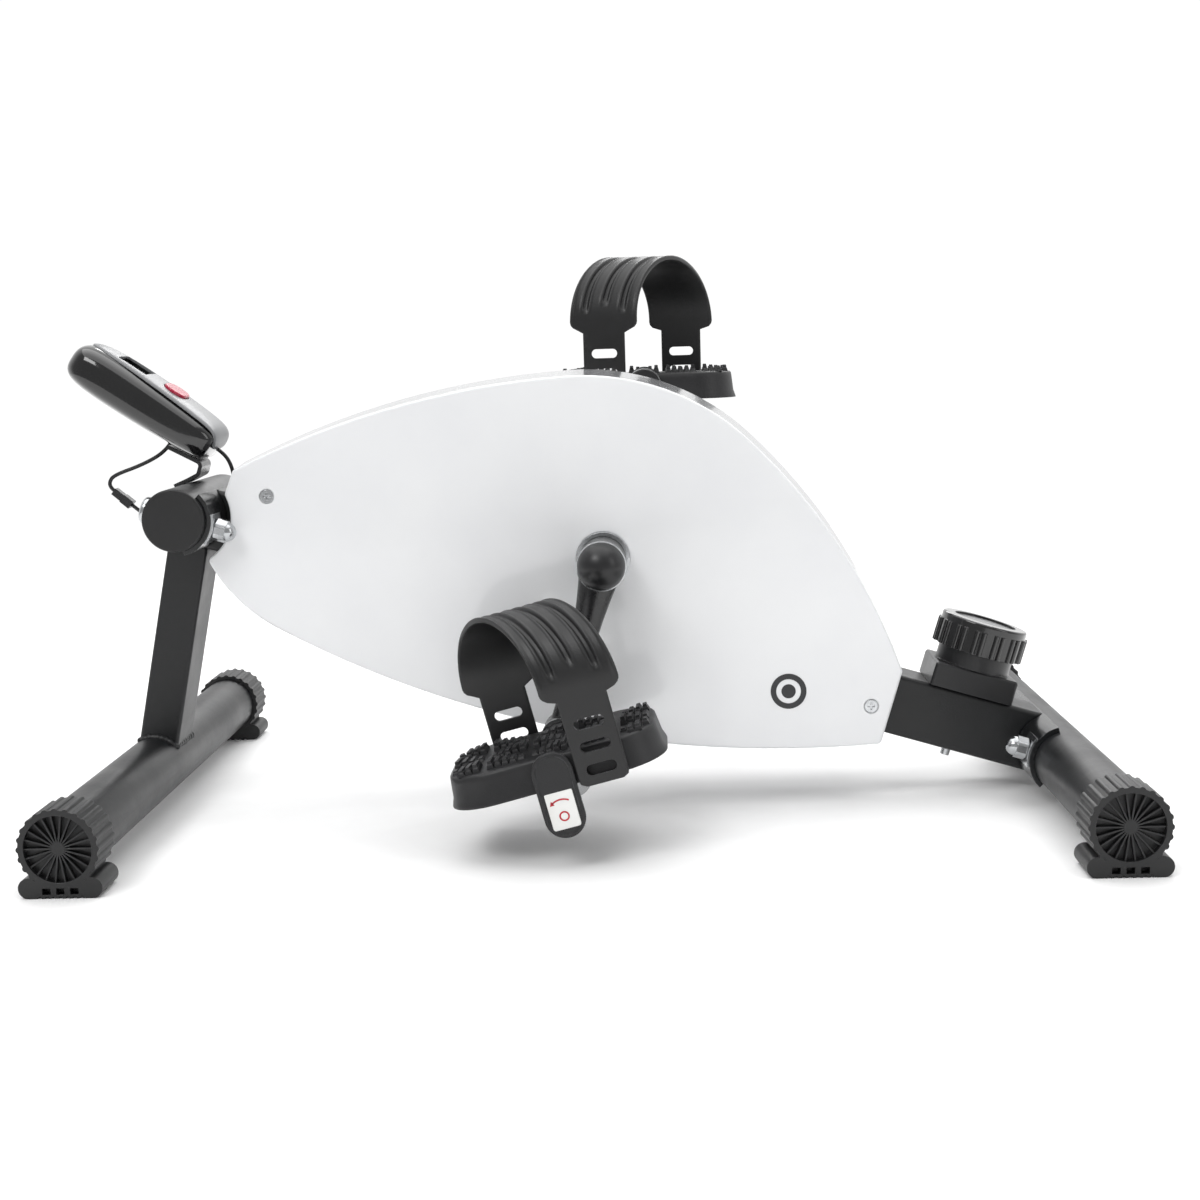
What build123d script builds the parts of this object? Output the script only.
from build123d import *
from math import acos, atan2, cos, degrees, hypot, pi, radians, sin, tan
import os

# Pedal exerciser. Millimetres. The user sits at the +X end and faces -X, so the
# left-hand side is -Y. Z is up and the feet stand on Z = 0. The origin is on the
# floor, halfway along the whole length and on the mid-plane.

# ---- Driving dimensions -------------------------------------------------------
stabiliser_spacing = 570.0      # between the two stabiliser tubes' axes
stabiliser_width = 400.0        # over the end caps
forward_overhang = 13.0         # how much further the console reaches than the rear caps
tube_od = 38.0
tube_wall = 1.5
foot_gap = 8.3                  # floor to the underside of a stabiliser tube
cross_tube_rise = 161.7         # cross tube's axis above the front stabiliser's
cross_tube_setback = 34.5       # and behind it
cross_tube_width = 124.0        # over the end plugs
post_width = 25.0
post_depth = 35.0
beam_size = 38.0
crank_x = 13.5
crank_z = 157.0
crank_length = 105.0
crank_lean = 15.0               # left crank, forward of straight down
cover_half = 40.0               # mid-plane to a side cover's face
pedal_length = 126.0
pedal_width = 82.0
pedal_mid = 125.0               # mid-plane to the middle of a pedal
left_pedal_tilt = 14.0
right_pedal_tilt = 0.0
drive_pulley_radius = 70.0
small_pulley_radius = 12.0
flywheel_radius = 62.0
console_length = 104.0
console_width = 52.0
console_tilt = 36.0

# ---- Fits and gaps --------------------------------------------------------------
running_gap = 0.05              # shaft in a bearing or bush, on the radius
moving_gap = 0.35               # between pieces that move past each other
seat_gap = 0.1                  # between pieces that are bolted or pushed together
bolt_gap = 0.25                 # bolt in its hole, on the radius
seam = 0.5                      # dark line between the housing's mouldings

# ---- Places that follow from them -----------------------------------------------
tube_r = tube_od / 2
tube_z = foot_gap + tube_r
front_x = (forward_overhang - stabiliser_spacing) / 2
rear_x = (forward_overhang + stabiliser_spacing) / 2
cross_x = front_x + cross_tube_setback
cross_z = tube_z + cross_tube_rise
beam_angle = atan2(cross_z - tube_z, rear_x - cross_x)
beam_span = hypot(cross_z - tube_z, rear_x - cross_x)
to_front = (-cos(beam_angle), 0, sin(beam_angle))
to_rear = (cos(beam_angle), 0, -sin(beam_angle))
beam_up = (sin(beam_angle), 0, cos(beam_angle))

os.makedirs("parts", exist_ok=True)


def write(piece, name):
    piece.part.label = name
    export_step(piece.part, f"parts/{name}.step")


def side_plane(y):
    """Plane seen from the left: x runs along X, y along Z. Its normal is -Y."""
    return Plane.XZ.offset(-y)


def on_beam(along, above=0.0, y=0.0):
    """A point measured from the rear stabiliser's axis, forward along the beam."""
    x = rear_x - along * cos(beam_angle) + above * sin(beam_angle)
    z = tube_z + along * sin(beam_angle) + above * cos(beam_angle)
    return Vector(x, y, z)


def ring(y0, y1, x, z, outer, inner):
    """A plain ring or bush along Y."""
    with BuildPart() as piece:
        with BuildSketch(side_plane(y0)):
            with Locations((x, z)):
                Circle(outer)
                Circle(inner, mode=Mode.SUBTRACT)
        extrude(amount=y0 - y1)
    return piece


# ---- Stabilisers, post and cross tube ---------------------------------------------
cap_face = 3.0
cap_recess = 4.4
cap_sleeve = 28.0
cap_r = 21.6
cap_rim_r = 19.2
scallop_r = 1.9
scallop_count = 24
tube_length = stabiliser_width - 2 * (cap_face + cap_recess)
bolt_r = 4.0
bolt_y = 49.0
saddle_thickness = 3.0
saddle_half_width = 58.0
saddle_wrap = 61.0              # degrees each side of the beam's axis
saddle_inner = tube_r + seat_gap
saddle_outer = saddle_inner + saddle_thickness
bolt_hole_r = bolt_r + bolt_gap


def cross_bolt_planes(x, z, direction):
    return [Plane(origin=(x, side * bolt_y, z), z_dir=direction) for side in (-1, 1)]


def round_tube(x, z, length):
    with BuildPart() as tube:
        with BuildSketch(Plane.XZ):
            with Locations((x, z)):
                Circle(tube_r)
                Circle(tube_r - tube_wall, mode=Mode.SUBTRACT)
        extrude(amount=length / 2, both=True)
    return tube


front_stabiliser = round_tube(front_x, tube_z, tube_length)
write(front_stabiliser, "front_stabiliser")

with BuildPart() as rear_stabiliser:
    add(round_tube(rear_x, tube_z, tube_length).part)
    for plane in cross_bolt_planes(rear_x, tube_z, to_front):
        with BuildSketch(plane):
            Circle(bolt_hole_r)
        extrude(amount=2 * tube_r, both=True, mode=Mode.SUBTRACT)
write(rear_stabiliser, "rear_stabiliser")

plug_flange = 3.0
plug_spigot = 12.0
plug_dome = 1.2
cross_length = cross_tube_width - 2 * plug_flange
lead_hole_r = 3.0
lead_hole_rise = 9.0            # the lead enters the cross tube's front this high

with BuildPart() as cross_tube:
    add(round_tube(cross_x, cross_z, cross_length).part)
    for plane in cross_bolt_planes(cross_x, cross_z, to_rear):
        with BuildSketch(plane):
            Circle(bolt_hole_r)
        extrude(amount=2 * tube_r, both=True, mode=Mode.SUBTRACT)
    with BuildSketch(Plane(origin=(cross_x, 0, cross_z + lead_hole_rise), z_dir=(-1, 0, 0))):
        Circle(lead_hole_r)
    extrude(amount=2 * tube_r, mode=Mode.SUBTRACT)
write(cross_tube, "cross_tube")

with BuildPart() as one_plug:
    with BuildSketch(Plane.XZ):
        Circle(tube_r)
    extrude(amount=plug_flange)
    fillet(one_plug.faces().sort_by(Axis.Y)[0].edges(), plug_dome)
    with BuildSketch(Plane.XZ):
        Circle(tube_r - tube_wall - seat_gap)
        Circle(tube_r - 2 * tube_wall - seat_gap, mode=Mode.SUBTRACT)
    extrude(amount=-plug_spigot)

with BuildPart() as cross_tube_plugs:
    with Locations(
        Location((cross_x, -cross_length / 2 - seat_gap, cross_z)),
        Location((cross_x, cross_length / 2 + seat_gap, cross_z), (0, 0, 180)),
    ):
        add(one_plug.part)
    for plane in cross_bolt_planes(cross_x, cross_z, to_rear):
        with BuildSketch(plane):
            Circle(bolt_hole_r)
        extrude(amount=2 * tube_r, both=True, mode=Mode.SUBTRACT)
write(cross_tube_plugs, "cross_tube_plugs")

post_up = Vector(cross_x - front_x, 0, cross_z - tube_z).normalized()
post_reach = hypot(cross_x - front_x, cross_z - tube_z)

with BuildPart() as front_post:
    with BuildSketch(Plane(origin=(front_x, 0, tube_z), x_dir=(0, 1, 0), z_dir=post_up)):
        Rectangle(post_depth, post_width)
        Rectangle(post_depth - 2 * tube_wall, post_width - 2 * tube_wall, mode=Mode.SUBTRACT)
    extrude(amount=post_reach)
    edges = front_post.edges().filter_by(Axis(origin=(0, 0, 0), direction=post_up))
    fillet(edges.group_by(lambda e: round(abs(e.center().Y), 1))[-1], 2.0)
    for x, z in ((front_x, tube_z), (cross_x, cross_z)):
        with BuildSketch(Plane.XZ):
            with Locations((x, z)):
                Circle(tube_r + seat_gap)
        extrude(amount=post_depth, both=True, mode=Mode.SUBTRACT)
    # the saddle and the beam's end sit against the post's rear face
    with BuildSketch(Plane.XZ):
        with Locations(Location((cross_x, cross_z), degrees(-beam_angle) - saddle_wrap - 2)):
            Rectangle(2 * saddle_outer, 2 * saddle_outer, align=(Align.MIN, Align.MIN))
        with Locations((cross_x, cross_z)):
            Circle(saddle_outer + 2 * seat_gap, mode=Mode.INTERSECT)
        with Locations(Location((cross_x, cross_z), degrees(-beam_angle))):
            Rectangle(2 * beam_size, beam_size + 2 * bolt_gap, align=(Align.MIN, Align.CENTER))
    extrude(amount=post_depth, both=True, mode=Mode.SUBTRACT)
write(front_post, "front_post")

# ---- End caps with their feet -------------------------------------------------------
fin_count = 22
fin_thickness = 0.9
hub_r = 2.6
foot_half = 23.0
foot_lobe_r = 5.8
foot_block_height = 10.0
window_size = 4.6
window_pitch = 7.6
window_depth = 5.0
groove_r = 1.1
groove_pitch = 3.8

with BuildPart() as one_cap:
    with BuildSketch(Plane.XZ):
        Circle(cap_r)
        with PolarLocations(cap_r - scallop_r / 2, scallop_count):
            Circle(scallop_r)
        with Locations((0, -tube_z + foot_block_height / 2)):
            Rectangle(2 * (foot_half - foot_lobe_r), foot_block_height)
        with Locations(*[(side * (foot_half - foot_lobe_r), foot_lobe_r - tube_z) for side in (-1, 1)]):
            Circle(foot_lobe_r)
        with Locations(*[(i * groove_pitch, -tube_z) for i in (-3, -2, -1, 0, 1, 2, 3)]):
            Circle(groove_r, mode=Mode.SUBTRACT)
    extrude(amount=-cap_sleeve)
    with BuildSketch(Plane.XZ):
        Circle(cap_rim_r - 0.6)
    extrude(amount=-cap_recess, mode=Mode.SUBTRACT)
    with BuildSketch(Plane.XZ.offset(-cap_recess - cap_face)):
        Circle(tube_r + seat_gap)
    extrude(amount=-cap_sleeve, mode=Mode.SUBTRACT)
    with BuildSketch(Plane.XZ):
        with Locations(*[(i * window_pitch, foot_block_height / 2 - tube_z - 1) for i in (-1, 0, 1)]):
            Rectangle(window_size, window_size - 1)
    extrude(amount=-window_depth, mode=Mode.SUBTRACT)
    with BuildSketch(Plane.XZ.offset(-cap_recess)):
        Circle(hub_r)
        with PolarLocations((cap_rim_r) / 2, fin_count):
            Rectangle(cap_rim_r - 0.6, fin_thickness)
    extrude(amount=cap_recess - 1.2)

cap_y = stabiliser_width / 2
with BuildPart() as stabiliser_caps:
    for x in (front_x, rear_x):
        with Locations(
            Location((x, -cap_y, tube_z)),
            Location((x, cap_y, tube_z), (0, 0, 180)),
        ):
            add(one_cap.part)
write(stabiliser_caps, "stabiliser_caps")

# ---- Saddles, main beam and their bolts ---------------------------------------------


def arc_plate(x, z, direction, inner, outer, half_angle, y_mid, half_width):
    """A curved plate round a tube's axis, facing along direction."""
    facing = Plane(origin=(x, y_mid, z), x_dir=direction, z_dir=(0, -1, 0))
    with BuildPart() as plate:
        with BuildSketch(facing):
            with BuildLine():
                CenterArc((0, 0), outer, -half_angle, 2 * half_angle)
                CenterArc((0, 0), inner, -half_angle, 2 * half_angle)
                for end in (-half_angle, half_angle):
                    Line(
                        (inner * cos(radians(end)), inner * sin(radians(end))),
                        (outer * cos(radians(end)), outer * sin(radians(end))),
                    )
            make_face()
        extrude(amount=half_width, both=True)
    return plate


saddle_joints = ((cross_x, cross_z, to_rear), (rear_x, tube_z, to_front))

with BuildPart() as saddle_plates:
    for x, z, direction in saddle_joints:
        add(arc_plate(x, z, direction, saddle_inner, saddle_outer, saddle_wrap, 0, saddle_half_width).part)
        with BuildSketch(Plane(origin=(x, 0, z), x_dir=(0, 1, 0), z_dir=direction)):
            with Locations((-bolt_y, 0), (bolt_y, 0)):
                Circle(bolt_hole_r)
        extrude(amount=2 * tube_r, mode=Mode.SUBTRACT)
write(saddle_plates, "saddle_plates")

washer_thickness = 1.5
washer_half = 9.0
washer_wrap = 24.0
washer_inner = saddle_outer + seat_gap
washer_outer = washer_inner + washer_thickness
nut_flats = 13.0
nut_height = 6.5
nut_dome_r = 5.9
nut_base = washer_outer + seat_gap
bolt_head_r = 8.5
bolt_head_height = 3.6

with BuildPart() as one_bolt:
    with BuildSketch(Plane.XY.offset(-tube_r - bolt_head_height - seat_gap)):
        Circle(bolt_head_r)
    extrude(amount=bolt_head_height)
    fillet(one_bolt.faces().sort_by(Axis.Z)[0].edges(), bolt_head_height - 0.8)
    with BuildSketch(Plane.XY.offset(-tube_r - seat_gap)):
        Circle(bolt_r)
    extrude(amount=tube_r + seat_gap + nut_base + nut_height)

with BuildPart() as one_nut:
    with BuildSketch(Plane.XY.offset(nut_base)):
        RegularPolygon(radius=nut_flats / 2, side_count=6, major_radius=False)
    extrude(amount=nut_height)
    with BuildSketch(Plane.XY.offset(nut_base)):
        Circle(nut_flats / 2 + 0.35)
    extrude(amount=nut_height, mode=Mode.INTERSECT)
    with Locations((0, 0, nut_base + nut_height)):
        Sphere(nut_dome_r)
    with BuildSketch(Plane.XY.offset(nut_base - nut_dome_r)):
        Circle(nut_flats)
    extrude(amount=nut_dome_r, mode=Mode.SUBTRACT)
    with BuildSketch(Plane.XY.offset(nut_base)):
        Circle(bolt_r + seat_gap)
    extrude(amount=nut_height + seat_gap, mode=Mode.SUBTRACT)

bolt_places = [
    Location(plane)
    for x, z, direction in saddle_joints
    for plane in cross_bolt_planes(x, z, direction)
]

with BuildPart() as saddle_bolts:
    with Locations(*bolt_places):
        add(one_bolt.part)
write(saddle_bolts, "saddle_bolts")

with BuildPart() as cap_nuts:
    with Locations(*bolt_places):
        add(one_nut.part)
write(cap_nuts, "cap_nuts")

with BuildPart() as curved_washers:
    for x, z, direction in saddle_joints:
        for side in (-1, 1):
            add(arc_plate(x, z, direction, washer_inner, washer_outer, washer_wrap,
                          side * bolt_y, washer_half).part)
        for plane in cross_bolt_planes(x, z, direction):
            with BuildSketch(plane):
                Circle(bolt_hole_r)
            extrude(amount=2 * tube_r, mode=Mode.SUBTRACT)
write(curved_washers, "curved_washers")

# The tension control sits on the beam here, measured forward from the rear tube.
knob_along = 59.0
cable_entry = knob_along + 17.0
cable_exit = beam_span - 62.0
cable_r = 2.2
cable_hole_r = 4.0
base_bolt_r = 3.0

with BuildPart() as main_beam:
    with BuildSketch(Plane(origin=on_beam(0), x_dir=(0, 1, 0), z_dir=to_front)):
        RectangleRounded(beam_size, beam_size, 2.5)
        Rectangle(beam_size - 2 * tube_wall, beam_size - 2 * tube_wall, mode=Mode.SUBTRACT)
    extrude(amount=beam_span)
    for x, z, _ in saddle_joints:
        with BuildSketch(Plane.XZ):
            with Locations((x, z)):
                Circle(saddle_outer + seat_gap)
        extrude(amount=beam_size, both=True, mode=Mode.SUBTRACT)
    for along, hole_r, through in (
        (cable_entry, cable_hole_r, False),
        (cable_exit, cable_hole_r, False),
        (knob_along, base_bolt_r + bolt_gap, True),
    ):
        with BuildSketch(Plane(origin=on_beam(along), z_dir=beam_up)):
            Circle(hole_r)
        extrude(amount=beam_size, both=through, mode=Mode.SUBTRACT)
write(main_beam, "main_beam")

# ---- Crank axle, its bearings and the flywheel's -------------------------------------
plate_thickness = 3.0
plate_inner = beam_size / 2 + seat_gap
plate_outer = plate_inner + plate_thickness
axle_r = 8.5
crank_bearing_r = 17.5
crank_bearing_width = 10.0
crank_shell_r = 21.0
shaft_r = 6.0
shaft_bearing_r = 14.0
shaft_bearing_width = 8.0
shaft_shell_r = 17.0
flywheel_x = crank_x - 109.5
flywheel_z = crank_z + 27.0
belt_thickness = 2.0
belt_width = 6.0
pulley_width = 8.0
pulley_y = plate_outer + 2.0    # inner face of both pulleys
idler_r = 9.0
idler_pin_r = 4.0
plate_rim = 5.0                 # side plate round each shell
plate_foot_r = 10.0
plate_foot_back = 8.0           # the plates' lower corner on the beam, from the crank's axis
plate_foot_drop = 52.0

pulley_gap = hypot(flywheel_x - crank_x, flywheel_z - crank_z)
pulley_line = atan2(flywheel_z - crank_z, flywheel_x - crank_x)
slack_normal = pulley_line + acos((drive_pulley_radius - small_pulley_radius) / pulley_gap)
slack_mid_x = (crank_x + flywheel_x + (drive_pulley_radius + small_pulley_radius) * cos(slack_normal)) / 2
slack_mid_z = (crank_z + flywheel_z + (drive_pulley_radius + small_pulley_radius) * sin(slack_normal)) / 2
idler_offset = belt_thickness + 2 * moving_gap + idler_r
idler_x = slack_mid_x + idler_offset * cos(slack_normal)
idler_z = slack_mid_z + idler_offset * sin(slack_normal)

with BuildPart() as side_plates:
    for side in (-1, 1):
        with BuildSketch(side_plane(side * plate_inner)):
            with Locations((crank_x, crank_z)):
                Circle(crank_shell_r + plate_rim)
            with Locations((flywheel_x, flywheel_z)):
                Circle(shaft_shell_r + plate_rim)
            with Locations((idler_x, idler_z), (crank_x + plate_foot_back, crank_z - plate_foot_drop)):
                Circle(plate_foot_r)
            make_hull()
            with Locations((crank_x, crank_z)):
                Circle(crank_shell_r + seat_gap, mode=Mode.SUBTRACT)
            with Locations((flywheel_x, flywheel_z)):
                Circle(shaft_shell_r + seat_gap, mode=Mode.SUBTRACT)
        extrude(amount=-side * plate_thickness)
write(side_plates, "side_plates")

write(ring(-plate_outer, plate_outer, crank_x, crank_z, crank_shell_r, crank_bearing_r), "crank_shell")
write(ring(-plate_outer, plate_outer, flywheel_x, flywheel_z, shaft_shell_r, shaft_bearing_r), "flywheel_shell")


def bearing_pair(x, z, outer, bore, width):
    with BuildPart() as pair:
        for side in (-1, 1):
            near, far = side * (plate_outer - width), side * plate_outer
            add(ring(near, far, x, z, outer, bore).part)
    return pair


write(bearing_pair(crank_x, crank_z, crank_bearing_r, axle_r + running_gap, crank_bearing_width),
      "crank_bearings")
write(bearing_pair(flywheel_x, flywheel_z, shaft_bearing_r, shaft_r + running_gap, shaft_bearing_width),
      "flywheel_bearings")

cover_thickness = 2.5
cover_inner = cover_half - cover_thickness
trim_ring_r = 16.5
trim_ring_bore = 12.0
trim_ring_stand = 5.0

with BuildPart() as cover_trim_rings:
    for side in (-1, 1):
        add(ring(side * (cover_inner - 1), side * (cover_half + trim_ring_stand),
                 crank_x, crank_z, trim_ring_r, trim_ring_bore).part)
write(cover_trim_rings, "cover_trim_rings")

# ---- Crank body: axle, pulley, cranks, nuts, domes and pedal spindles ----------------
boss_inner = cover_half + trim_ring_stand + 2.0
boss_outer = 78.0
boss_r = 14.0
arm_inner = 62.0
arm_eye_r = 11.0
arm_eye_width = 15.0
spindle_r = 6.0
spindle_end = pedal_mid + pedal_width / 2 - 0.5
left_turn = radians(270 - crank_lean)
right_turn = left_turn + pi
spindle_places = {
    -1: (crank_x + crank_length * cos(left_turn), crank_z + crank_length * sin(left_turn)),
    1: (crank_x + crank_length * cos(right_turn), crank_z + crank_length * sin(right_turn)),
}

with BuildPart() as crank_axle:
    with BuildSketch(Plane.XZ):
        with Locations((crank_x, crank_z)):
            Circle(axle_r)
    extrude(amount=boss_outer - 2, both=True)
write(crank_axle, "crank_axle")


def crank(side):
    eye_x, eye_z = spindle_places[side]
    with BuildPart() as piece:
        with BuildSketch(side_plane(side * boss_inner)):
            with Locations((crank_x, crank_z)):
                Circle(boss_r)
        extrude(amount=-side * (boss_outer - boss_inner))
        with BuildSketch(side_plane(side * arm_inner)):
            with Locations((eye_x, eye_z)):
                Circle(arm_eye_r)
        extrude(amount=-side * arm_eye_width)
        arm_plane = Plane(
            origin=(crank_x, side * (arm_inner + arm_eye_width / 2), crank_z),
            x_dir=(0, 1, 0),
            z_dir=(eye_x - crank_x, 0, eye_z - crank_z),
        )
        with BuildSketch(arm_plane.offset(boss_r * 0.4)):
            Ellipse(7.5, 12.5)
        with BuildSketch(arm_plane.offset(crank_length * 0.4)):
            Ellipse(6.5, 8.0)
        with BuildSketch(arm_plane.offset(crank_length - arm_eye_r * 0.3)):
            Ellipse(6.0, 8.5)
        loft()
        with BuildSketch(side_plane(side * boss_inner)):
            with Locations((crank_x, crank_z)):
                Circle(axle_r)
        extrude(amount=-side * (boss_outer - boss_inner), mode=Mode.SUBTRACT)
        with BuildSketch(side_plane(side * arm_inner)):
            with Locations((eye_x, eye_z)):
                Circle(spindle_r)
        extrude(amount=-side * (arm_eye_width + 2), mode=Mode.SUBTRACT)
    return piece


write(crank(-1), "left_crank")
write(crank(1), "right_crank")

crank_ring_r = 14.9
crank_ring_thickness = 1.8
dome_r = 14.3
dome_depth = 13.0

with BuildPart() as crank_washers:
    for side in (-1, 1):
        add(ring(side * boss_outer, side * (boss_outer + crank_ring_thickness),
                 crank_x, crank_z, crank_ring_r, axle_r).part)
write(crank_washers, "crank_washers")

with BuildPart() as one_dome:
    with BuildSketch(Plane.XY):
        with BuildLine():
            RadiusArc((dome_r, 0), (0, dome_depth), -(dome_r**2 + dome_depth**2) / (2 * dome_depth))
            Line((0, dome_depth), (0, 0))
            Line((0, 0), (dome_r, 0))
        make_face()
    revolve(axis=Axis.Y)

dome_base = boss_outer + crank_ring_thickness
with BuildPart() as crank_domes:
    with Locations(
        Location((crank_x, -dome_base, crank_z), (180, 0, 0)),
        Location((crank_x, dome_base, crank_z)),
    ):
        add(one_dome.part)
write(crank_domes, "crank_domes")

with BuildPart() as pedal_spindles:
    for side in (-1, 1):
        with BuildSketch(side_plane(side * arm_inner)):
            with Locations(spindle_places[side]):
                Circle(spindle_r)
        extrude(amount=-side * (spindle_end - arm_inner))
write(pedal_spindles, "pedal_spindles")

web_hole_r = 15.0
web_hole_count = 5

with BuildPart() as drive_pulley:
    with BuildSketch(side_plane(pulley_y)):
        with Locations((crank_x, crank_z)):
            Circle(drive_pulley_radius)
            Circle(axle_r, mode=Mode.SUBTRACT)
            with PolarLocations(drive_pulley_radius * 0.6, web_hole_count):
                Circle(web_hole_r, mode=Mode.SUBTRACT)
    extrude(amount=-pulley_width)
write(drive_pulley, "drive_pulley")

# ---- Flywheel body, belt and idler ------------------------------------------------------
flywheel_width = 10.0
flywheel_rim = 12.0
flywheel_web = 4.0

with BuildPart() as flywheel:
    with BuildSketch(side_plane(-pulley_y)):
        with Locations((flywheel_x, flywheel_z)):
            Circle(flywheel_radius)
    extrude(amount=flywheel_width)
    with BuildSketch(side_plane(-pulley_y - flywheel_web)):
        with Locations((flywheel_x, flywheel_z)):
            Circle(flywheel_radius - flywheel_rim)
            Circle(shaft_shell_r, mode=Mode.SUBTRACT)
    extrude(amount=flywheel_width, mode=Mode.SUBTRACT)
    with BuildSketch(side_plane(-pulley_y)):
        with Locations((flywheel_x, flywheel_z)):
            Circle(shaft_r)
    extrude(amount=flywheel_width, mode=Mode.SUBTRACT)
write(flywheel, "flywheel")

with BuildPart() as flywheel_shaft:
    with BuildSketch(Plane.XZ):
        with Locations((flywheel_x, flywheel_z)):
            Circle(shaft_r)
    extrude(amount=pulley_y + flywheel_width, both=True)
write(flywheel_shaft, "flywheel_shaft")

write(ring(pulley_y, pulley_y + pulley_width, flywheel_x, flywheel_z, small_pulley_radius, shaft_r),
      "flywheel_pulley")


def belt_outline(gap):
    """Fills the open sketch with the belt's path round both pulleys, grown by gap."""
    with Locations((crank_x, crank_z)):
        Circle(drive_pulley_radius + gap)
    with Locations((flywheel_x, flywheel_z)):
        Circle(small_pulley_radius + gap)
    make_hull()


belt_plane = side_plane(pulley_y + (pulley_width - belt_width) / 2)
with BuildPart() as drive_belt:
    with BuildSketch(belt_plane):
        belt_outline(moving_gap + belt_thickness)
    extrude(amount=-belt_width)
    with BuildSketch(belt_plane):
        belt_outline(moving_gap)
    extrude(amount=-belt_width, mode=Mode.SUBTRACT)
write(drive_belt, "drive_belt")

pin_head_r = 6.0
pin_head = 2.0
with BuildPart() as idler_pin:
    with BuildSketch(side_plane(plate_outer)):
        with Locations((idler_x, idler_z)):
            Circle(idler_pin_r)
    extrude(amount=plate_outer - pulley_y - pulley_width - moving_gap)
    with BuildSketch(side_plane(pulley_y + pulley_width + moving_gap)):
        with Locations((idler_x, idler_z)):
            Circle(pin_head_r)
    extrude(amount=-pin_head)
write(idler_pin, "idler_pin")
write(ring(pulley_y, pulley_y + pulley_width, idler_x, idler_z, idler_r, idler_pin_r + running_gap),
      "idler_roller")

# ---- Magnet arm that brakes the flywheel -----------------------------------------------
magnet_gap = 2.5
magnet_depth = 5.0
arm_band = 3.5
arm_start = 146.0               # degrees round the flywheel's axis
arm_stop = 200.0
magnet_count = 4
magnet_pitch = 12.0             # degrees from one magnet to the next
magnet_span = 9.0
arm_inner_r = flywheel_radius + magnet_gap + magnet_depth
arm_outer_r = arm_inner_r + arm_band
pivot_turn = radians(202.0)
pivot_x = flywheel_x + (arm_outer_r + 1) * cos(pivot_turn)
pivot_z = flywheel_z + (arm_outer_r + 1) * sin(pivot_turn)
pivot_pin_r = 3.0
pivot_eye_r = 7.0


def around_flywheel(radius, turn):
    return (flywheel_x + radius * cos(radians(turn)), flywheel_z + radius * sin(radians(turn)))


def flywheel_sector(inner, outer, start, stop):
    """A closed outline between two radii round the flywheel's axis."""
    middle = (start + stop) / 2
    with BuildLine() as outline:
        ThreePointArc(around_flywheel(outer, start), around_flywheel(outer, middle),
                      around_flywheel(outer, stop))
        Line(around_flywheel(outer, stop), around_flywheel(inner, stop))
        ThreePointArc(around_flywheel(inner, stop), around_flywheel(inner, middle),
                      around_flywheel(inner, start))
        Line(around_flywheel(inner, start), around_flywheel(outer, start))
    return outline.line


with BuildPart() as magnet_arm:
    with BuildSketch(side_plane(-pulley_y)):
        add(flywheel_sector(arm_inner_r, arm_outer_r, arm_start, arm_stop))
        make_face()
        with Locations((pivot_x, pivot_z)):
            Circle(pivot_eye_r)
            Circle(pivot_pin_r + running_gap, mode=Mode.SUBTRACT)
    extrude(amount=flywheel_width)
write(magnet_arm, "magnet_arm")

with BuildPart() as brake_magnets:
    for i in range(magnet_count):
        start = arm_start + 2 + i * magnet_pitch
        with BuildSketch(side_plane(-pulley_y)):
            add(flywheel_sector(arm_inner_r - magnet_depth, arm_inner_r, start, start + magnet_span))
            make_face()
        extrude(amount=flywheel_width)
write(brake_magnets, "brake_magnets")

with BuildPart() as magnet_pivot:
    with BuildSketch(side_plane(-beam_size / 2)):
        with Locations((pivot_x, pivot_z)):
            Circle(pivot_pin_r)
    extrude(amount=pulley_y + flywheel_width + moving_gap - beam_size / 2)
    with BuildSketch(side_plane(-beam_size / 2)):
        with Locations((pivot_x, pivot_z)):
            Circle(pin_head_r)
    extrude(amount=pulley_y - moving_gap - beam_size / 2)
    with BuildSketch(side_plane(-pulley_y - flywheel_width - moving_gap)):
        with Locations((pivot_x, pivot_z)):
            Circle(pin_head_r)
    extrude(amount=pin_head)
write(magnet_pivot, "magnet_pivot")

# ---- Tension control on the beam -----------------------------------------------------
base_length = 53.0
base_width = 46.0
base_height = 15.3
collar_r = 23.5
collar_height = 9.8
knob_r = 27.2
knob_height = 20.0
knob_rib_count = 14
knob_rib_r = 1.5
knob_rib_height = 15.0
label_r = 18.5
label_recess = 2.0
knob_stem_r = 5.0
base_floor = beam_size / 2 + seat_gap
collar_top = base_floor + base_height + collar_height
knob_bottom = collar_top + moving_gap


def on_knob_axis(above):
    return Plane(origin=on_beam(knob_along, above), x_dir=to_rear, z_dir=beam_up)


with BuildPart() as tension_base:
    with BuildSketch(on_knob_axis(base_floor)):
        RectangleRounded(base_length, base_width, 2.0)
    extrude(amount=base_height)
    top_edges = tension_base.faces().sort_by(Axis((0, 0, 0), beam_up))[-1].edges()
    chamfer(top_edges, 1.2)
    with BuildSketch(on_knob_axis(base_floor + base_height)):
        Circle(collar_r)
    extrude(amount=collar_height)
    with BuildSketch(on_knob_axis(collar_top)):
        Circle(knob_stem_r + running_gap)
    extrude(amount=-collar_height, mode=Mode.SUBTRACT)
    with BuildSketch(Plane(origin=on_beam(cable_entry, base_floor), z_dir=beam_up)):
        Circle(cable_hole_r)
    extrude(amount=base_height / 2, mode=Mode.SUBTRACT)
    with BuildSketch(on_knob_axis(base_floor)):
        Circle(base_bolt_r + seat_gap)
    extrude(amount=base_height / 2, mode=Mode.SUBTRACT)
write(tension_base, "tension_base")

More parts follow.
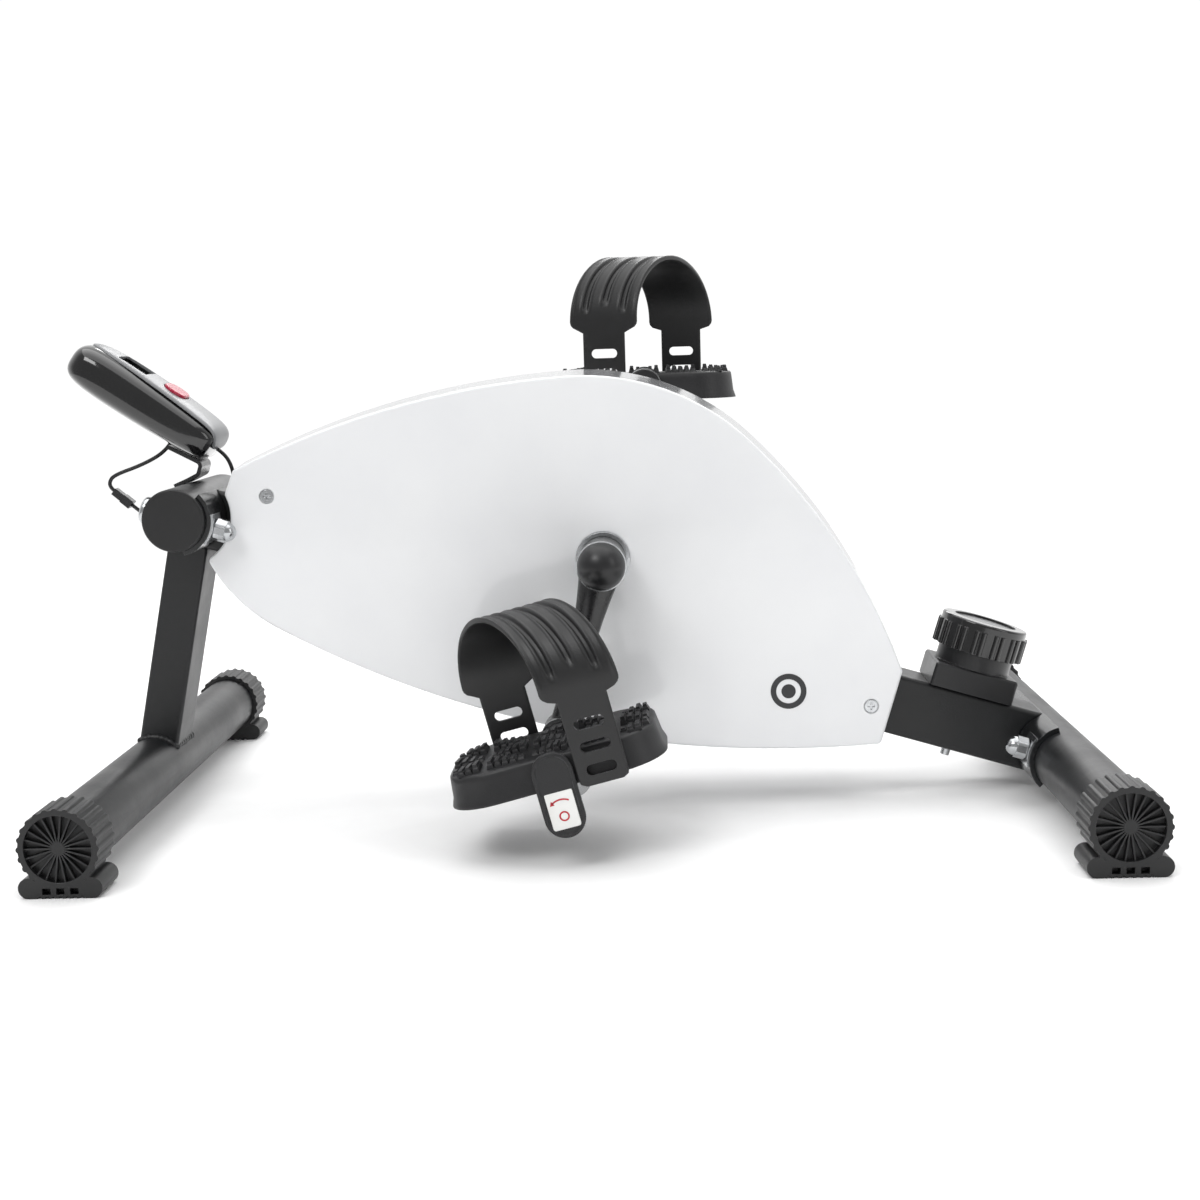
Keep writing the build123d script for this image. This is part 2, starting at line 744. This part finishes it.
with BuildPart() as tension_knob:
    with BuildSketch(on_knob_axis(knob_bottom)):
        Circle(knob_r)
    extrude(amount=knob_height)
    knob_up = Axis((0, 0, 0), beam_up)
    fillet(tension_knob.faces().sort_by(knob_up)[-1].edges(), 1.6)
    with BuildSketch(on_knob_axis(knob_bottom)):
        with PolarLocations(knob_r, knob_rib_count):
            with Locations((0, -2.2), (0, 2.2)):
                Circle(knob_rib_r)
    extrude(amount=knob_rib_height)
    with BuildSketch(on_knob_axis(knob_bottom + knob_height)):
        Circle(label_r + 1)
    extrude(amount=-label_recess, mode=Mode.SUBTRACT)
    with BuildSketch(on_knob_axis(knob_bottom)):
        Circle(knob_stem_r)
    extrude(amount=-collar_height + 1)
write(tension_knob, "tension_knob")

with BuildPart() as knob_label:
    with BuildSketch(on_knob_axis(knob_bottom + knob_height - label_recess)):
        Circle(label_r)
    extrude(amount=0.8)
write(knob_label, "knob_label")

base_bolt_tip = 6.5
with BuildPart() as base_bolt:
    with BuildSketch(on_knob_axis(-beam_size / 2 - base_bolt_tip)):
        Circle(base_bolt_r)
    extrude(amount=beam_size + base_bolt_tip + base_height / 2)
write(base_bolt, "base_bolt")

cable_low = 2.0
cable_top = on_beam(cable_exit, beam_size / 2 + 14)
cable_path_points = [
    on_beam(cable_entry, base_floor + base_height / 2 - 1),
    on_beam(cable_entry, cable_low),
    on_beam(cable_exit, cable_low),
    cable_top,
]
with BuildPart() as tension_cable:
    with BuildLine() as cable_path:
        FilletPolyline(*cable_path_points, radius=11.0)
    with BuildSketch(Plane(origin=cable_path_points[0], z_dir=cable_path.line % 0)):
        Circle(cable_r)
    sweep()
write(tension_cable, "tension_cable")

# ---- Housing: two side covers, an upper and a lower band, screws -------------------------
notch_r = 29.5
rear_end_along = 107.5          # housing's rear end, forward of the rear tube
rear_end_top = 24.7
rear_end_low = -beam_size / 2 - cover_thickness - 1.0
band_crown = 3.0
notch_corner_r = 4.0
outer_corner_r = 3.0
cover_edge_r = 1.6
rim_depth = 6.0
rim_wall = 2.0


def from_axle(dx, dz):
    return (crank_x + dx, crank_z + dz)


def from_cross(dx, dz):
    """A point in the side view that keeps its distance from the cross tube."""
    return (cross_x + dx, crank_z + dz)


def from_rear(dx, dz):
    """A point in the side view that keeps its distance from the rear stabiliser."""
    return (rear_x + dx, crank_z + dz)


def side_point(vector):
    return (vector.X, vector.Z)


top_front = from_cross(32.5, 60)
top_middle = from_axle(-123.5, 96.3)
apex = from_axle(-18.5, 111.3)
top_knee = from_rear(-187.2, 69.7)
rear_top = side_point(on_beam(rear_end_along, rear_end_top))
rear_low = side_point(on_beam(rear_end_along, rear_end_low))
low_rear = from_rear(-179.5, -121.7)
low_knee = from_axle(-66.5, -96)
low_front = from_cross(54, -38)
chin = from_cross(12, 9)
low_middle = from_rear(-138, -121.6)


def housing_outline(face, inset=0.0):
    """Fills the open sketch with the housing's side view, less the saddle's notch."""
    with BuildLine() as lines:
        a = ThreePointArc(top_front, top_middle, apex)
        b = TangentArc(apex, top_knee, tangent=a % 1)
        TangentArc(top_knee, rear_top, tangent=b % 1)
        Line(rear_top, rear_low)
        c = ThreePointArc(rear_low, low_middle, low_rear)
        d = TangentArc(low_rear, low_knee, tangent=c % 1)
        e = TangentArc(low_knee, low_front, tangent=d % 1)
        TangentArc(low_front, chin, tangent=e % 1)
        Line(chin, top_front)
    make_face(lines.edges())
    if inset:
        offset(amount=-inset, kind=Kind.INTERSECTION)
    with Locations((cross_x, cross_z)):
        Circle(notch_r + inset, mode=Mode.SUBTRACT)
    fillet(face.vertices().sort_by_distance((cross_x, cross_z, 0))[:2], notch_corner_r)
    for corner in (top_front, rear_top, rear_low):
        fillet(face.vertices().sort_by_distance((*corner, 0))[0], outer_corner_r)


screw_places = (from_cross(52.7, 43.5), from_rear(-115.2, -96.2))
screw_r = 2.0
screw_head_r = 4.0
screw_recess = 1.2
boss_wall_r = 5.5
boss_reach = 12.0
wall_y = beam_size / 2 + 1.0    # the end walls stop short of the beam
beam_turn = -degrees(beam_angle)


def behind(along, mode=Mode.INTERSECT):
    """Keeps or draws what lies behind a line across the beam, in the open sketch."""
    with Locations(Location(side_point(on_beam(along)))):
        Rectangle(4 * cover_half, 4 * cover_half, rotation=beam_turn,
                  align=(Align.MIN, Align.CENTER), mode=mode)


with BuildPart() as left_cover:
    with BuildSketch(side_plane(-cover_inner)) as panel:
        housing_outline(panel)
    extrude(amount=cover_thickness)
    fillet(left_cover.faces().sort_by(Axis.Y)[0].edges(), cover_edge_r)
    # a rim that locates the cover inside the bands
    with BuildSketch(side_plane(-cover_inner)) as rim:
        housing_outline(rim, cover_thickness + seat_gap)
    extrude(amount=-rim_depth)
    with BuildSketch(side_plane(-cover_inner)) as rim_hollow:
        housing_outline(rim_hollow, cover_thickness + seat_gap + rim_wall)
    extrude(amount=-rim_depth, mode=Mode.SUBTRACT)
    # end walls that close the notch and the rear end, beside the beam
    with BuildSketch(side_plane(-wall_y)) as notch_wall:
        housing_outline(notch_wall)
        with Locations((cross_x, cross_z)):
            Circle(notch_r + cover_thickness, mode=Mode.INTERSECT)
    extrude(amount=cover_inner - wall_y)
    with BuildSketch(side_plane(-wall_y)) as rear_wall:
        housing_outline(rear_wall)
        behind(rear_end_along + cover_thickness)
    extrude(amount=cover_inner - wall_y)
    for place in screw_places:
        with BuildSketch(side_plane(-cover_inner)):
            with Locations(place):
                Circle(boss_wall_r)
        extrude(amount=-boss_reach)
    for place in screw_places:
        with BuildSketch(side_plane(-cover_half)):
            with Locations(place):
                Circle(screw_head_r + 0.6)
        extrude(amount=-screw_recess, mode=Mode.SUBTRACT)
        with BuildSketch(side_plane(-cover_half)):
            with Locations(place):
                Circle(screw_r + seat_gap)
        extrude(amount=-boss_reach, mode=Mode.SUBTRACT)
    with BuildSketch(side_plane(-cover_half)):
        with Locations((crank_x, crank_z)):
            Circle(trim_ring_r + seat_gap)
    extrude(amount=-cover_half, mode=Mode.SUBTRACT)
write(left_cover, "left_cover")

with BuildPart() as right_cover:
    add(left_cover.part.mirror(Plane.XZ))
write(right_cover, "right_cover")

with BuildPart() as cover_screws:
    for side in (-1, 1):
        for place in screw_places:
            with BuildSketch(side_plane(side * (cover_half - screw_recess))):
                with Locations(place):
                    Circle(screw_head_r)
                    Rectangle(4.4, 1.0, mode=Mode.SUBTRACT)
                    Rectangle(1.0, 4.4, mode=Mode.SUBTRACT)
            extrude(amount=-side * 1.0)
            with BuildSketch(side_plane(side * (cover_half - screw_recess))):
                with Locations(place):
                    Circle(screw_r)
            extrude(amount=side * (boss_reach - 3))
write(cover_screws, "cover_screws")

band_half = cover_inner - seam
band_taper = degrees(atan2(band_crown, band_half))

with BuildPart() as whole_band:
    for way in (-1, 1):
        with BuildSketch(Plane.XZ) as crown:
            housing_outline(crown, -band_crown)
        extrude(amount=way * band_half, taper=band_taper)
    with BuildSketch(Plane.XZ) as hollow:
        housing_outline(hollow, cover_thickness)
    extrude(amount=band_half, both=True, mode=Mode.SUBTRACT)
    with BuildSketch(Plane.XZ):
        with Locations((cross_x, cross_z)):
            Circle(notch_r + cover_thickness + seam)
    extrude(amount=band_half, both=True, mode=Mode.SUBTRACT)
    with BuildSketch(Plane.XZ):
        behind(rear_end_along + cover_thickness + seam, Mode.ADD)
    extrude(amount=band_half, both=True, mode=Mode.SUBTRACT)

bands = whole_band.solids().sort_by(Axis.Z)
for name, band in (("lower_band", bands[0]), ("upper_band", bands[-1])):
    with BuildPart() as piece:
        add(band)
    write(piece, name)

# ---- Pedals, with their side tags, counterweights and straps -----------------------------
pedal_end_r = 26.0
pedal_top = 8.0                 # top plate above the spindle's axis
pedal_low = -10.0
pedal_draft = 4.0
pedal_wall = 3.0
spindle_boss_r = 9.0
pad_height = 3.0
pad_length = 20.0
pad_width = 17.0
pad_pitch_x = 27.0
pad_pitch_y = 22.0
plate_gap = 0.3                 # hung plates and straps from the pedal's side
tag_r = 11.5
tag_drop = 26.0
tag_thickness = 3.4
weight_thickness = 3.0
strap_thickness = 2.6
strap_tail = 28.0
strap_band = 44.0
strap_ear_low = 38.0
strap_ear_high = 43.0
strap_top = 87.0
strap_inner_x = -26.0           # the strap crosses the pedal at a slant
strap_outer_x = 27.0
strap_foot = -12.5
long_tail_foot = -26.0
slot_length = 17.0
slot_height = 6.0
slot_pitch = 13.0
lowest_slot = -4.0
slot_count = 3
lug_length = 12.0
lug_height = 3.6
tilts = {-1: left_pedal_tilt, 1: right_pedal_tilt}


def on_pedal(side, x=0.0, y=0.0, z=0.0):
    """A plane on a pedal: x to the rear, y to its outer side when side is 1, z up."""
    turn = radians(tilts[side])
    eye_x, eye_z = spindle_places[side]
    return Plane(
        origin=(
            eye_x + x * cos(turn) - z * sin(turn),
            side * (pedal_mid + y),
            eye_z + x * sin(turn) + z * cos(turn),
        ),
        x_dir=(cos(turn), 0, sin(turn)),
        z_dir=(-sin(turn), 0, cos(turn)),
    )


def on_pedal_side(side, y):
    """The same pedal seen from the left, at y outward from its middle."""
    flat = on_pedal(side, y=y)
    return Plane(origin=flat.origin, x_dir=flat.x_dir, z_dir=(0, -1, 0))


half_width = pedal_width / 2
strap_y = half_width + plate_gap + strap_thickness / 2


def pedal(side):
    with BuildPart() as piece:
        for low, inset, mode in ((pedal_low, 0, Mode.ADD), (pedal_low, pedal_wall, Mode.SUBTRACT)):
            with BuildSketch(on_pedal(side, z=low)):
                with GridLocations(pedal_length - 2 * pedal_end_r, pedal_width - 2 * pedal_end_r, 2, 2):
                    Circle(pedal_end_r - inset)
                make_hull()
            extrude(amount=pedal_top - pedal_low - inset, taper=pedal_draft, mode=mode)
        with BuildSketch(on_pedal(side, z=pedal_top)):
            with GridLocations(pad_pitch_x, pad_pitch_y, 4, 3):
                RectangleRounded(pad_length, pad_width, 3)
            with GridLocations(3 * pad_pitch_x, 2 * pad_pitch_y, 2, 2):
                Rectangle(pad_length + 2, pad_width + 2, mode=Mode.SUBTRACT)
        extrude(amount=pad_height)
        with BuildSketch(on_pedal_side(side, -half_width + 1)):
            Circle(spindle_boss_r)
        extrude(amount=-side * (pedal_width - 2))
        with BuildSketch(on_pedal_side(side, -half_width - 1)):
            Circle(spindle_r + running_gap)
        extrude(amount=-side * (pedal_width + 2), mode=Mode.SUBTRACT)
        for outward, x in ((-1, strap_inner_x), (1, strap_outer_x)):
            with BuildSketch(on_pedal_side(side, outward * (half_width - pedal_wall))):
                with Locations((x, lowest_slot)):
                    Rectangle(lug_length, lug_height)
            extrude(amount=-side * outward * (pedal_wall + plate_gap + strap_thickness + 1))
    return piece


def hung_plate(side, outward, thickness, bore):
    """A round-ended plate that hangs from the spindle at a pedal's side."""
    with BuildPart() as piece:
        with BuildSketch(on_pedal_side(side, outward * (half_width + plate_gap))):
            with Locations((0, 0), (0, -tag_drop)):
                Circle(tag_r)
            make_hull()
            if bore:
                Circle(bore, mode=Mode.SUBTRACT)
        extrude(amount=-side * outward * thickness)
    return piece


def strap_sections():
    """Stations along the strap, from its inner foot over the arch to its outer foot."""
    arch = strap_top - strap_thickness / 2 - strap_ear_high
    stations = [(-strap_y, strap_foot, 0, strap_tail), (-strap_y, strap_ear_low, 0, strap_tail)]
    for turn in range(0, 181, 15):
        y = -strap_y * cos(radians(turn))
        z = strap_ear_high + arch * sin(radians(turn))
        stations.append((y, z, turn, strap_band))
    stations.append((strap_y, strap_ear_low, 180, strap_tail))
    return stations


def strap(side, outer_foot):
    with BuildPart() as piece:
        for y, z, turn, width in strap_sections() + [(strap_y, outer_foot, 180, strap_tail)]:
            slant = (1 - cos(radians(turn))) / 2
            x = strap_inner_x + (strap_outer_x - strap_inner_x) * slant
            flat = on_pedal(side, x, y, z)
            along = side * sin(radians(turn)) * flat.y_dir + cos(radians(turn)) * flat.z_dir
            with BuildSketch(Plane(origin=flat.origin, x_dir=flat.x_dir, z_dir=along)):
                Rectangle(width, strap_thickness)
        loft(ruled=True)
        for outward, x in ((-1, strap_inner_x), (1, strap_outer_x)):
            with BuildSketch(on_pedal_side(side, outward * half_width)):
                with Locations(*[(x, lowest_slot + i * slot_pitch) for i in range(slot_count)]):
                    SlotOverall(slot_length, slot_height)
            extrude(amount=-side * outward * 2 * strap_thickness, mode=Mode.SUBTRACT)
    return piece


for side, word, outer_foot in ((-1, "left", strap_foot), (1, "right", long_tail_foot)):
    write(pedal(side), f"{word}_pedal")
    write(hung_plate(side, 1, tag_thickness, 0), f"{word}_tag")
    write(hung_plate(side, -1, weight_thickness, spindle_r + bolt_gap), f"{word}_weight")
    write(strap(side, outer_foot), f"{word}_strap")

# ---- Console on its bent bracket ----------------------------------------------------------
console_x = -269.9
console_z = 259.6
console_turn = radians(console_tilt)
down_console = (cos(console_turn), 0, -sin(console_turn))
console_up = (sin(console_turn), 0, cos(console_turn))
console_top = 11.5
console_edge_r = 6.0
face_thickness = 2.3
face_width = 39.0
lcd_u = -19.0
lcd_length = 20.0
lcd_width = 23.0
lens_thickness = 0.8
button_u = 10.0
button_r = 7.5
button_width = 22.0
button_height = 4.0
button_travel = 1.2


def on_console(u, v, y=0.0):
    """A point u down the console's slope and v above its middle."""
    return Vector(
        console_x + u * cos(console_turn) + v * sin(console_turn),
        y,
        console_z - u * sin(console_turn) + v * cos(console_turn),
    )


def console_deck(v, u=0.0):
    """A plane along the console's top: x down the slope, y across."""
    return Plane(origin=on_console(u, v), x_dir=down_console, z_dir=console_up)


console_side = Plane(origin=on_console(0, 0), x_dir=down_console, z_dir=(0, -1, 0))
half_length = console_length / 2

with BuildPart() as console_case:
    with BuildSketch(console_side) as profile:
        with BuildLine():
            Line((half_length - 3, console_top), (12 - half_length, console_top))
            ThreePointArc((12 - half_length, console_top), (-half_length, -1), (14 - half_length, -12.5))
            ThreePointArc((14 - half_length, -12.5), (-8, -16.2), (half_length - 3.5, -11.5))
            Line((half_length - 3.5, -11.5), (half_length - 3, console_top))
        make_face()
        fillet(profile.vertices().sort_by(Axis.X)[-2:], 2.5)
    extrude(amount=console_width / 2, both=True)
    ends = console_case.faces().filter_by(Axis.Y)
    fillet(ends.edges(), console_edge_r)
    with BuildSketch(console_deck(console_top)):
        with Locations((button_u, 0)):
            SlotOverall(button_width + 2, 2 * button_r + 1, rotation=90)
    extrude(amount=-button_travel - 1, mode=Mode.SUBTRACT)
write(console_case, "console_case")

with BuildPart() as console_face:
    with BuildSketch(console_deck(console_top + seat_gap)):
        with Locations((2, 0)):
            RectangleRounded(console_length - 14, face_width, 8)
        with Locations((lcd_u, 0)):
            Rectangle(lcd_length, lcd_width, mode=Mode.SUBTRACT)
        with Locations((button_u, 0)):
            SlotOverall(button_width + 2 * moving_gap, 2 * button_r + 2 * moving_gap, rotation=90,
                        mode=Mode.SUBTRACT)
    extrude(amount=face_thickness)
write(console_face, "console_face")

with BuildPart() as lcd_window:
    with BuildSketch(console_deck(console_top + seat_gap)):
        with Locations((lcd_u, 0)):
            Rectangle(lcd_length - 2 * seat_gap, lcd_width - 2 * seat_gap)
    extrude(amount=lens_thickness)
write(lcd_window, "lcd_window")

with BuildPart() as console_button:
    with BuildSketch(console_deck(console_top + seat_gap)):
        with Locations((button_u, 0)):
            SlotOverall(button_width, 2 * button_r, rotation=90)
    extrude(amount=button_height)
    fillet(console_button.faces().sort_by(Axis((0, 0, 0), console_up))[-1].edges(), 0.8)
write(console_button, "console_button")

strip_thickness = 2.4
strip_width = 22.0
strip_r = tube_r + strip_thickness / 2 + 0.7
strip_foot_turn = radians(125)


def over_cross_tube(turn):
    return (cross_x + strip_r * cos(turn), cross_z + strip_r * sin(turn))


with BuildPart() as console_bracket:
    with BuildSketch(Plane.XZ):
        with BuildLine() as strip:
            FilletPolyline(
                side_point(on_console(26, -16.6)),
                side_point(on_console(half_length - 3, -13.4)),
                (cross_x + 3.5, cross_z + 24.0),
                over_cross_tube(radians(100)),
                over_cross_tube(strip_foot_turn),
                radius=3.0,
            )
        trace(strip.line, line_width=strip_thickness)
    extrude(amount=strip_width / 2, both=True)
write(console_bracket, "console_bracket")

# ---- Leads: console to its connector, connector to the cross tube, console to housing --------
lead_r = 1.2


def routed_tube(points, name):
    """A lead's tube along straight runs, each corner rounded as wide as its runs allow."""
    path = [Vector(*point) for point in points]
    radii = []
    for before, corner, after in zip(path, path[1:], path[2:]):
        into, out_of = corner - before, after - corner
        half_turn = radians(into.get_angle(out_of)) / 2
        radii.append(0.45 * min(into.length, out_of.length) / tan(half_turn))
    with BuildPart() as tube:
        with BuildLine() as route:
            FilletPolyline(*path, radius=radii)
        with BuildSketch(Plane(origin=path[0], z_dir=path[1] - path[0])):
            Circle(lead_r)
        sweep()
    volume = route.wire().length * pi * lead_r**2
    print(name, "length", round(route.wire().length, 1), "radii", [round(r, 1) for r in radii],
          "volume", round(tube.part.volume, 1), "against", round(volume, 1))
    return tube


console_exit = on_console(24, -15.6)
console_lead_points = (
    tuple(console_exit),
    (-263.6, 0, 227.2),
    (-278.5, -0.5, 219.5),
    (-297.0, -1.0, 213.5),
    (-300.2, -1.0, 209.2),
    (-299.6, -1.0, 205.6),
    (-297.2, -1.0, 203.5),
)
write(routed_tube(console_lead_points, "console_lead"), "console_lead")

plug_along = Vector(2.4, 0, -2.1).normalized()
plug_length = 7.0
plug_width = 6.0
plug_height = 4.6
plug_start = Vector(*console_lead_points[-1])
plug_end = plug_start + plug_along * (2 * plug_length)
with BuildPart() as lead_connector:
    for step, grow in ((0, 0.0), (1, 0.8)):
        with BuildSketch(Plane(origin=plug_start + plug_along * (step * plug_length),
                               x_dir=(0, 1, 0), z_dir=plug_along)):
            Rectangle(plug_width + grow, plug_height + grow)
        extrude(amount=plug_length)
write(lead_connector, "lead_connector")

post_lead_points = (
    tuple(plug_end),
    tuple(plug_end + plug_along * 4),
    (-277.5, -0.5, 186.5),
    (-267.5, 0, 193.8),
    (cross_x - tube_r + 3.0, 0, cross_z + lead_hole_rise),
)
write(routed_tube(post_lead_points, "post_lead"), "post_lead")

sensor_lead_points = (
    tuple(on_console(half_length - 1.6, -2.0)),
    (-225.5, 0, 224.9),
    (-221.4, 0, 217.0),
    (-220.5, 0, 208.0),
    (-216.0, 0, 203.2),
    (-209.0, 0, 202.9),
)
write(routed_tube(sensor_lead_points, "sensor_lead"), "sensor_lead")
